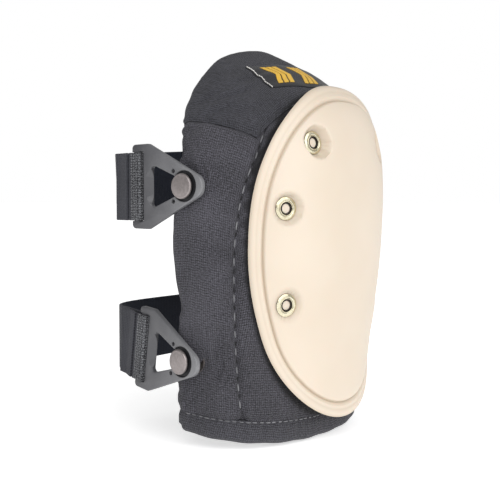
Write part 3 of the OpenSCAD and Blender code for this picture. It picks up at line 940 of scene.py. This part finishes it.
def capPoint(rho, t):
    bend = 2 / np.where(np.cos(t) > 0, *capSet["squareness"])
    s = capSet["halfWide"] * np.sign(np.sin(t)) * np.abs(np.sin(t)) ** bend
    tall = np.where(np.cos(t) > 0, capSet["reachUp"], capSet["reachDown"])
    z = capSet["middle"] + rho * tall * np.sign(np.cos(t)) * np.abs(np.cos(t)) ** bend
    a, v = findPlace(rho * s, z)
    out = skinFrame(a, v)[2]
    inner = np.clip(1 - np.clip(rho / capSet["groove"], 0, 1) ** 2.2, 0, 1)
    dome = 0.6 + (capSet["rise"] - 1.8 * ridge(z, 74, 26)) * inner ** 0.75
    dome = dome * np.clip((capSet["groove"] - rho) / 0.010, 0, 1) ** 0.7
    groove = -0.75 * ridge(rho, capSet["groove"] + 0.002, 0.0085)
    bead = 0.28 * ridge(rho, capSet["groove"] + 0.022, 0.008)
    roll = -1.5 * np.clip((rho - 0.965) / 0.035, 0, 1) ** 2.4
    lift = capRimLift(z) + dome + groove + bead + roll
    return skin(a, v) + out * lift[:, None] / 1000


def buildCap():
    sides, rings = 320, 96
    spans = ((0.0, 0.86, 56), (0.868, 0.96, 28), (0.965, 1.0, 13))
    knots = np.concatenate([np.linspace(*span) for span in spans])

    def reachAt(w):
        return np.interp(w, np.linspace(0, 1, len(knots)), knots)

    def place(u, w):
        return capPoint(np.maximum(reachAt(w), 1e-4), -u * 2 * math.pi)

    # Painted shade along the groove, at the rim's outer edge and along a fine line inside the rim
    def capShade(u, w):
        rho = reachAt(w)
        grooveShade = ridge(rho, capSet["groove"] + 0.001, 0.0065) * 0.62
        return grooveShade + 0.30 * ridge(rho, 1.0, 0.012) + 0.16 * ridge(rho, 0.957, 0.006)
    shellPiece = laidSheet("capShell", sides, rings, place, capShade)
    cleaned(shellPiece, merge=2e-5)
    co = pointsOf(shellPiece)
    mark = np.zeros(len(co), np.float32)
    shellPiece.data.attributes["mark"].data.foreach_get("value", mark)
    for side in (-1, 1):
        for s, z in capSet["rivetAt"]:
            seat = skinPlace(side * s, z)
            origin, out = np.array(seat.translation), np.array(seat.col[2])[:3]
            rel = co - origin
            height = rel @ out
            radius = np.linalg.norm(rel - height[:, None] * out, axis=1) * 1000
            dimple = capSet["dimpleRadius"]
            share = np.clip((dimple - radius) / (dimple - capSet["seatRadius"]), 0, 1)
            share = share * share * (3 - 2 * share) * (height > 0)
            co += out * ((capSet["seatHeight"] / 1000 - height) * share)[:, None]
            # Painted shade in a ring round each eyelet and a fainter one at the dimple's edge
            mark += (0.55 * ridge(radius, 6.9, 0.8) + 0.13 * ridge(radius, 8.6, 0.9)) * (height > 0)
    setPoints(shellPiece, co)
    shellPiece.data.attributes["mark"].data.foreach_set("value", mark)
    pick(shellPiece)
    normals = np.zeros(len(shellPiece.data.polygons) * 3)
    shellPiece.data.polygons.foreach_get("normal", normals)
    if normals.reshape(-1, 3)[:, 1].mean() > 0:
        shellPiece.data.flip_normals()
    shaped(shellPiece, "SOLIDIFY", thickness=capSet["wall"] / 1000 - 0.0002, offset=-1)
    dressed(shellPiece, "pad", "cap", ("cap",), smooth=50)
    print("cap done", len(shellPiece.data.polygons))

    seats = [skinPlace(side * s, z) for side in (-1, 1) for s, z in capSet["rivetAt"]]
    eyelet = turned("eyelet", [(3.35, 4.65), (6.1, 4.62), (6.5, 4.75), (6.5, 5.0), (6.35, 5.15), (5.9, 5.36),
                               (5.3, 5.58), (4.7, 5.7), (4.35, 5.6), (4.2, 5.45), (4.05, 5.58), (3.8, 5.62),
                               (3.55, 5.45), (3.4, 4.9), (3.35, 4.65)], 64, closed=True)
    radius = np.linalg.norm(pointsOf(eyelet)[:, :2], axis=1) * 1000
    # Painted shade in the gap round the eyelet's rim, in the groove by its bead and down its hole
    eyeletShade = (radius > 6.42) * 0.9 + ridge(radius, 4.2, 0.06) * 0.75 + (radius < 3.6) * 0.8
    setPaintedShade(eyelet, np.clip(eyeletShade, 0, 1))
    dressed(copiesOf(eyelet, seats, "capEyelets"), "pad", "brass", ("cap_eyelets",))
    rivet = turned("rivet", [(3.3, -4.3), (3.3, -3.6), (2.4, -3.3), (2.4, 4.2), (3.15, 4.5), (3.22, 5.1),
                             (3.0, 5.35), (2.75, 5.3), (2.6, 5.0), (2.5, 4.0), (2.3, 2.6), (1.9, 2.35),
                             (1.2, 2.55), (0.7, 2.65), (0.2, 2.7)], 40)
    radius = np.linalg.norm(pointsOf(rivet)[:, :2], axis=1) * 1000
    # Painted shade over the rivet's rim and wall inside the eyelet's hole; only its middle keeps the plain metal
    # colour
    setPaintedShade(rivet, np.clip((radius > 1.85) * 0.93, 0, 1))
    dressed(copiesOf(rivet, seats, "capRivets"), "pad", "rivet", ("cap_rivets",))
    print("rivets done")


# ---- studs, buckles and straps ----
hangers = {
    "upper": {"out": 81.7, "forward": 11, "height": 136, "toeIn": 2.4, "pitch": 0.0, "gap": 4.0,
              "strapMiddle": 136, "loopNear": 77.5, "loopSquare": 2.6,
              "tab": [(40.05, 2.7), (43.6, 1.6), (46.6, 0.6), (49.4, 0.1), (51.4, 0.0)]},
    "lower": {"out": 81.8, "forward": 9, "height": 40, "toeIn": 10.5, "pitch": 7.6, "gap": 5.5,
              "strapMiddle": 47, "loopNear": 70, "loopSquare": 3.2,
              "tab": [(40.05, 2.7), (43.6, 1.6), (46.6, 0.5), (50.4, 0.1), (53.4, 0.0)]},
}
strapSet = {"width": 38, "thick": 1.7, "reach": 66, "root": 24, "far": {"upper": 78.2, "lower": 78.6},
            "tilt": {"upper": 3.5, "lower": 0.0},
            "partAt": 58, "ply": 2.7,
            "flank": 62, "flankSquare": 2.6}


def studPlace(end):
    h = hangers[end]
    toe, pitch = math.radians(h["toeIn"]), math.radians(h["pitch"])
    back = Vector((math.sin(toe), math.cos(toe), 0))
    out = Vector((-math.cos(toe), math.sin(toe), 0))
    origin = Vector((-h["out"], -h["forward"], h["height"] - padForm["kneeHeight"])) / 1000
    return frameAt(origin, back * math.cos(pitch) + Vector(up) * math.sin(pitch), out)


def hullOf(circles, count=48):
    cloud = sorted({(round(x + r * math.cos(t), 5), round(y + r * math.sin(t), 5))
                    for x, y, r in circles for t in np.linspace(0, 2 * math.pi, count, endpoint=False)})

    def half(points):
        chain = []
        for p in points:
            while len(chain) > 1 and ((chain[-1][0] - chain[-2][0]) * (p[1] - chain[-2][1])
                                      - (chain[-1][1] - chain[-2][1]) * (p[0] - chain[-2][0])) <= 1e-9:
                chain.pop()
            chain.append(p)
        return chain[:-1]
    return half(cloud) + half(cloud[::-1])


buckleSet = {"thick": 3.2, "round": 0.7, "recess": (-0.6, 8.5, 1.25), "holeAt": (7.0, 8.3), "holeRadius": 1.25,
             "scoopAt": 21.5, "scoopFloor": (2.4, 8.6), "scoopTop": (7.0, 10.9),
             # circles as along, across and radius, which a taut outline runs round
             "outline": [(-6.4, 0, 7), (2, 0, 8.4), (26.6, 20.8, 3), (26.6, -20.8, 3), (35.6, 21.2, 2.4),
                         (35.6, -21.2, 2.4)],
             "opening": [(0, 0, 2.95), (21.4, 9.2, 2.2), (21.4, -9.2, 2.2)],
             "slot": (29.6, 32.4, 19.3), "rearEnd": 38.0, "barEnd": 36.7, "barHalf": 19.4}


def flatPlate(name, outlines, thick, rounded):
    deselect()
    bpy.ops.curve.primitive_bezier_circle_add(radius=0.01)
    piece = named(bpy.context.object, name)
    drawing = piece.data
    drawing.dimensions = "2D"
    drawing.fill_mode = "BOTH"
    drawing.splines.clear()
    for outline in outlines:
        spline = drawing.splines.new("POLY")
        spline.points.add(len(outline) - 1)
        for point, (x, y) in zip(spline.points, outline):
            point.co = (x / 1000, y / 1000, 0, 1)
        spline.use_cyclic_u = True
    drawing.extrude = (thick / 2 - rounded) / 1000
    drawing.bevel_depth = rounded / 1000
    drawing.bevel_resolution = 2
    drawing.offset = -rounded / 1000
    pick(piece)
    bpy.ops.object.convert(target="MESH")
    return cleaned(bpy.context.object, merge=1e-6)


def cutBy(piece, cutter):
    shaped(piece, "BOOLEAN", object=cutter, operation="DIFFERENCE", solver="EXACT")
    bpy.data.objects.remove(cutter)


def boxPath(x0, x1, y, corner=0.6):
    points = []
    for cx, cy, t0 in ((x1 - corner, y - corner, 0), (x0 + corner, y - corner, 90),
                       (x0 + corner, -y + corner, 180), (x1 - corner, -y + corner, 270)):
        for t in range(0, 91, 30):
            angle = math.radians(t0 + t)
            points.append((cx + corner * math.cos(angle), cy + corner * math.sin(angle)))
    return points


def buildBuckle(end):
    body, place = end + "_buckle", studPlace(end)
    outline = hullOf(buckleSet["outline"])
    rear, barEnd, half = buckleSet["rearEnd"], buckleSet["barEnd"], buckleSet["barHalf"]
    notch = []
    for k, (x, y) in enumerate(outline):
        notch.append((x, y))
        nx, ny = outline[(k + 1) % len(outline)]
        if min(x, nx) > rear - 0.1 and y * ny < 0:
            turn = half if ny > y else -half
            notch += [(rear, -turn), (barEnd, -turn), (barEnd, turn), (rear, turn)]
    opening = hullOf(buckleSet["opening"], 32)
    slot = boxPath(*buckleSet["slot"])
    plate = flatPlate(end + "Buckle", [notch, opening, slot], buckleSet["thick"], buckleSet["round"])
    holeU, holeY = buckleSet["holeAt"]
    for y in (-holeY, holeY):
        drill = primitive("cylinder", "holeTool", vertices=24, radius=buckleSet["holeRadius"] / 1000, depth=0.008,
                          location=(holeU / 1000, y / 1000, 0))
        bpy.ops.object.transform_apply(location=True)
        cutBy(plate, drill)
    x, radius, depth = buckleSet["recess"]
    top = buckleSet["thick"] / 2
    cutter = turned("recessTool", [(radius - 0.5, top - depth), (radius - 0.1, top - depth + 0.3),
                                   (radius, top - 0.3), (radius + 0.5, top + 0.2), (radius + 0.5, top + 1)], 64)
    cutter.data.transform(Matrix.Translation((x / 1000, 0, 0)))
    cutBy(plate, cutter)
    # the sloped wall behind the opening
    scoop = primitive("cylinder", "scoopTool", vertices=64, radius=1, depth=2)
    co = pointsOf(scoop)
    floorEnd = co[:, 2] < 0
    (deepX, deepY), (wideX, wideY) = buckleSet["scoopFloor"], buckleSet["scoopTop"]
    co[:, 0] = buckleSet["scoopAt"] + np.where(floorEnd, deepX, wideX) * co[:, 0]
    co[:, 1] *= np.where(floorEnd, deepY, wideY)
    co[:, 2] = np.where(floorEnd, -0.9, top + 0.3)
    setPoints(scoop, co / 1000)
    cutBy(plate, scoop)
    sunk = []
    for face in plate.data.polygons:
        spot = face.center * 1000
        sunk.append(math.hypot(spot.x - x, spot.y) < radius + 0.2 and top - depth - 0.1 < spot.z < top - 0.3)
    # Painted shade and painted highlight: the plate's colour darkens steadily from its light apex to its rear end
    setPaintedShade(plate, 0.1 + (pointsOf(plate)[:, 0] * 1000 + 13.4) / 51.4 * 0.75)
    plate.data.transform(place)
    dressed(plate, body, "buckle", (end + "_buckle",), smooth=35)
    # Painted shadow: the recess floor and walls get the near-black recess finish
    plate.data.materials.append(finishes["recess"])
    for face, inRecess in zip(plate.data.polygons, sunk):
        face.material_index = int(inRecess)
    gap = hangers[end]["gap"]
    stud = turned(end + "Stud", [(3.5, -gap - 4.7), (3.5, -gap - 4.2), (2.5, -gap - 4.0), (2.5, -gap + 0.1),
                                 (5.5, -gap + 0.2), (5.5, -2.25), (5.2, -2.05), (2.7, -2.0), (2.7, 1.85),
                                 (6.6, 1.95), (6.95, 2.2), (7.0, 2.9), (6.85, 3.4), (6.5, 3.75), (6.2, 3.85),
                                 (5.9, 3.8), (5.2, 3.92), (3.0, 4.08), (1.0, 4.12), (0.2, 4.12)], 64)
    stud.data.transform(place)
    dressed(stud, end + "_stud_turn", "stud", (end + "_stud",), smooth=30)


def smoothPath(points, step=1.0):
    p = np.array(points, float)
    ends = np.vstack([2 * p[0] - p[1], p, 2 * p[-1] - p[-2]])
    fine = []
    for k in range(len(p) - 1):
        for f in np.linspace(0, 1, 12, endpoint=False):
            fine.append(curved(*ends[k:k + 4], f))
    fine = np.array(fine + [p[-1]])
    length = np.concatenate([[0], np.cumsum(np.linalg.norm(np.diff(fine, axis=0), axis=1))])
    count = max(int(length[-1] / step), 4)
    marks = np.linspace(0, length[-1], count + 1)
    return np.stack([np.interp(marks, length, fine[:, i]) for i in range(p.shape[1])], 1)


# A strap laid along rows of (centre, direction of its width), all in metres
def laidStrap(name, rows, across=20):
    count = len(rows) - 1

    def place(u, w):
        x = u * count
        k = np.minimum(x.astype(int), count - 1)
        f = (x - k)[:, None]
        row = rows[k] * (1 - f) + rows[k + 1] * f
        half = strapSet["width"] / 2000
        return row[:, :3] + row[:, 3:] * ((w - 0.5) * 2 * half)[:, None]
    piece = laidSheet(name, count, across, place)
    shaped(piece, "SOLIDIFY", thickness=strapSet["thick"] / 1000, offset=0)
    shaped(piece, "BEVEL", width=0.00045, segments=2, limit_method="ANGLE", angle_limit=math.radians(50))
    return cleaned(piece)


# The loops climb a little towards the far wing
def climbed(end, points):
    far, tilt = strapSet["far"][end], math.radians(strapSet["tilt"][end])
    base = np.array([-far, 0, hangers[end]["strapMiddle"] - padForm["kneeHeight"]])
    x, y, z = (np.asarray(points, float) - base).T
    turned = np.stack([x * math.cos(tilt) - z * math.sin(tilt), y, x * math.sin(tilt) + z * math.cos(tilt)], -1)
    return turned + base


def leaning(end):
    tilt = math.radians(strapSet["tilt"][end])
    return np.array([-math.sin(tilt), 0, math.cos(tilt)])


def flankX(end, y):
    square = strapSet["flankSquare"]
    return strapSet["far"][end] * (1 - (np.abs(y) / strapSet["flank"]) ** square) ** (1 / square)


def loopCentres(end):
    h, far = hangers[end], strapSet["far"][end] + strapSet["thick"] / 2 + 0.4
    t = np.radians(np.arange(180, -0.1, -2.5))
    wide = h["loopNear"] + (far - h["loopNear"]) * (1 + np.cos(t)) / 2
    x = np.sign(np.cos(t)) * wide * np.abs(np.cos(t)) ** (2 / h["loopSquare"])
    y = strapSet["root"] + (strapSet["reach"] - strapSet["root"]) * np.abs(np.sin(t)) ** (2 / h["loopSquare"])
    flank = np.arange(18, -34.1, -3.0)
    x2 = flankX(end, np.minimum(flank, 0)) + strapSet["thick"] / 2 + 0.4
    z = h["strapMiddle"] - padForm["kneeHeight"]
    path = np.stack([np.concatenate([x, x2]), np.concatenate([y, flank]), np.full(len(x) + len(x2), z)], 1)
    return climbed(end, path) / 1000


def buildStraps(end):
    place = studPlace(end)
    back, wide, out = (np.array(place.col[i])[:3] for i in range(3))
    wide = wide if wide[2] > 0 else -wide
    origin = np.array(place.translation)
    path = loopCentres(end)
    reachBack = (path - origin) @ back * 1000
    # the first crossing of the parting line, on the buckle's side
    k = int(np.argmax(reachBack > strapSet["partAt"]))
    f = (strapSet["partAt"] - reachBack[k - 1]) / (reachBack[k] - reachBack[k - 1])
    split = path[k - 1] * (1 - f) + path[k] * f
    loop = smoothPath(np.vstack([split, path[k:]]) * 1000, 2.0) / 1000
    rows = np.hstack([loop, np.tile(leaning(end), (len(loop), 1))])[::-1]
    body = laidStrap(end + "StrapLoop", rows)
    dressed(body, None, "strap", (end + "_strap",))
    # Painted shade: faces turned in towards the pad get the dark inside copy of the elastic
    body.data.materials.append(finishes["strapInsideShade"])
    for face in body.data.polygons:
        spot, normal = face.center, face.normal
        if Vector((spot.x, spot.y - 0.02, 0)).normalized().dot(normal) < -0.25:
            face.material_index = 1
    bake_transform(body)

    def local(u, z):
        return origin + back * u / 1000 + out * z / 1000
    ply = strapSet["ply"]
    ahead = path[:k][reachBack[:k] > 50]
    approach = [split, *ahead[::-1][:2]]
    slotAt, turn = 31.0, 1.1
    inner = [local(u, z) for u, z in ((45.0, -ply), (41.0, -ply), (37.5, -ply), (34.5, -ply))]

    def turning(middle, start, stop):
        return [local(slotAt + turn + turn * math.cos(math.radians(t)), middle + turn * math.sin(math.radians(t)))
                for t in range(start, stop, -18)]
    bend = turning(turn - ply, 270, 179) + turning(ply - turn, 180, 89)
    outer = [local(u, ply) for u in (34.5, 36.5, 38.8)]
    centre = smoothPath(np.array(approach + inner + bend + outer) * 1000, 0.8) / 1000
    share = np.clip(((centre - origin) @ back * 1000 - 42) / 14, 0, 1)[:, None]
    share = share * share * (3 - 2 * share)
    widths = unitRows(wide * (1 - share) + leaning(end) * share)
    rows = np.hstack([centre, widths])
    near = laidStrap(end + "StrapEnd", rows)
    dressed(near, None, "strap", (end + "_strap_end",))
    near.data.materials.append(finishes["nap"])
    for face in near.data.polygons:
        spot = np.array(face.center) - origin
        if spot @ out * 1000 > 0.5 and 29.0 < spot @ back * 1000 < 36.9:
            face.material_index = 1
    tuple(local(57, -4))
    tuple(local(40, -4))
    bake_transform(near)

    tabPath = smoothPath([local(u, z) * 1000 for u, z in hangers[end]["tab"]], 0.9) / 1000
    rows = np.hstack([tabPath, np.tile(wide, (len(tabPath), 1))])
    tab = laidStrap(end + "StrapTab", rows)
    dressed(tab, end + "_tab", "strap", (end + "_strap_tab",))

    # sewn down on the far wing
    marks = []
    z = hangers[end]["strapMiddle"] - padForm["kneeHeight"]
    flank = [(y, dz) for dz in (-16, 16) for y in np.arange(-32, -13.9, 2.6)]
    flank += [(y, dz) for y in (-32, -14) for dz in np.arange(-13.4, 13.5, 2.68)]
    for y, dz in flank:
        x = flankX(end, y) + strapSet["thick"] + 0.45
        slope = -(abs(y) / strapSet["flank"]) ** 1.6 * 0.7
        normal = Vector((1, slope, 0)).normalized()
        run = Vector(leaning(end)) if y in (-32, -14) else normal.cross(Vector((0, 0, 1)))
        marks.append(frameAt(Vector(climbed(end, [(x, y, z + dz)])[0]) / 1000, run, normal))
    stitchRow(end + "StrapStitch", marks, 0.0021, "darkThread", 0.0003)
    print(end, "straps done")


# ---- woven label ----
def labelAV(u, w):
    return (2 * u - 1) * (0.4 + 0.075 * w), 0.735 + 0.125 * w


def onLabel(u, w, lift):
    a, v = labelAV(u, w)
    points, out = shell(a, v)
    cover = bpy.data.objects["thighCover"]
    for k in range(len(a)):
        start, aim = Vector(points[k] + out[k] * 0.02), Vector(-out[k])
        found, spot, *_ = cover.ray_cast(start, aim, distance=0.03)
        if found:
            points[k] = spot
    return points + out * np.broadcast_to(lift, len(a))[:, None] / 1000


def buildLabel():
    def flat(u, w):
        edge = np.minimum(np.minimum(u, 1 - u) * 72, np.minimum(w, 1 - w) * 24)
        return onLabel(u, w, 0.75 - 0.25 * np.exp(-edge / 0.8))
    label = laidSheet("wovenLabel", 90, 30, flat)
    shaped(label, "SOLIDIFY", thickness=0.0006, offset=-1)
    dressed(label, "pad", "label", ("label",))
    shapes = []
    for k in range(6):
        for half in (-1, 1):
            middle = 0.17 + k * 0.052 + (k > 2) * 0.10

            def bar(u, w, middle=middle, half=half, k=k):
                rise = half * w * 0.36
                across = middle + (u - 0.5) * 0.040 - np.abs(rise) * 0.14
                return onLabel(across, 0.5 + rise, 1.0)
            piece = laidSheet("bar", 5, 12, bar)
            if half < 0:
                piece.data.flip_normals()
            shapes.append(piece)
    motif = joined(shapes, "labelMotif")
    shaped(motif, "SOLIDIFY", thickness=0.00035, offset=-1)
    dressed(motif, "pad", "motif")
    frames = []
    for edge in (0.012, 0.988):
        for w in np.linspace(0.03, 0.97, 13):
            spot = onLabel(np.array([edge, edge]), np.array([w - 0.01, w + 0.01]), np.array([0.95, 0.95]))
            a, v = labelAV(np.array([edge]), np.array([w]))
            frames.append(frameAt(spot.mean(0), spot[1] - spot[0], shell(a, v)[1][0]))
    stitchRow("labelThread", frames, 0.0021, "whiteThread", 0.00034)
    print("label done")


def buildFloor():
    floor = primitive("plane", "studioFloor", size=60)
    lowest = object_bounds()[0][2]
    floor.data.transform(Matrix.Translation((0, 0, lowest - studio["floorGap"])))
    floor.data.materials.append(finishes["floor"])


def finishCadNodes():
    kept = {"rivet_burrs": "rivet", "backing_plate": "plate", "stud_washers": "rivet"}
    for node, finish in kept.items():
        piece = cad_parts[node]
        piece.data.materials.clear()
        piece.data.materials.append(finishes[finish])
    print("carried-over nodes done")


buildStudio()
buildFinishes()
finishCadNodes()
buildCovers()
buildStitches()
buildPadding()
buildCap()
for strapEnd in hangers:
    buildBuckle(strapEnd)
    buildStraps(strapEnd)
buildLabel()
buildFloor()
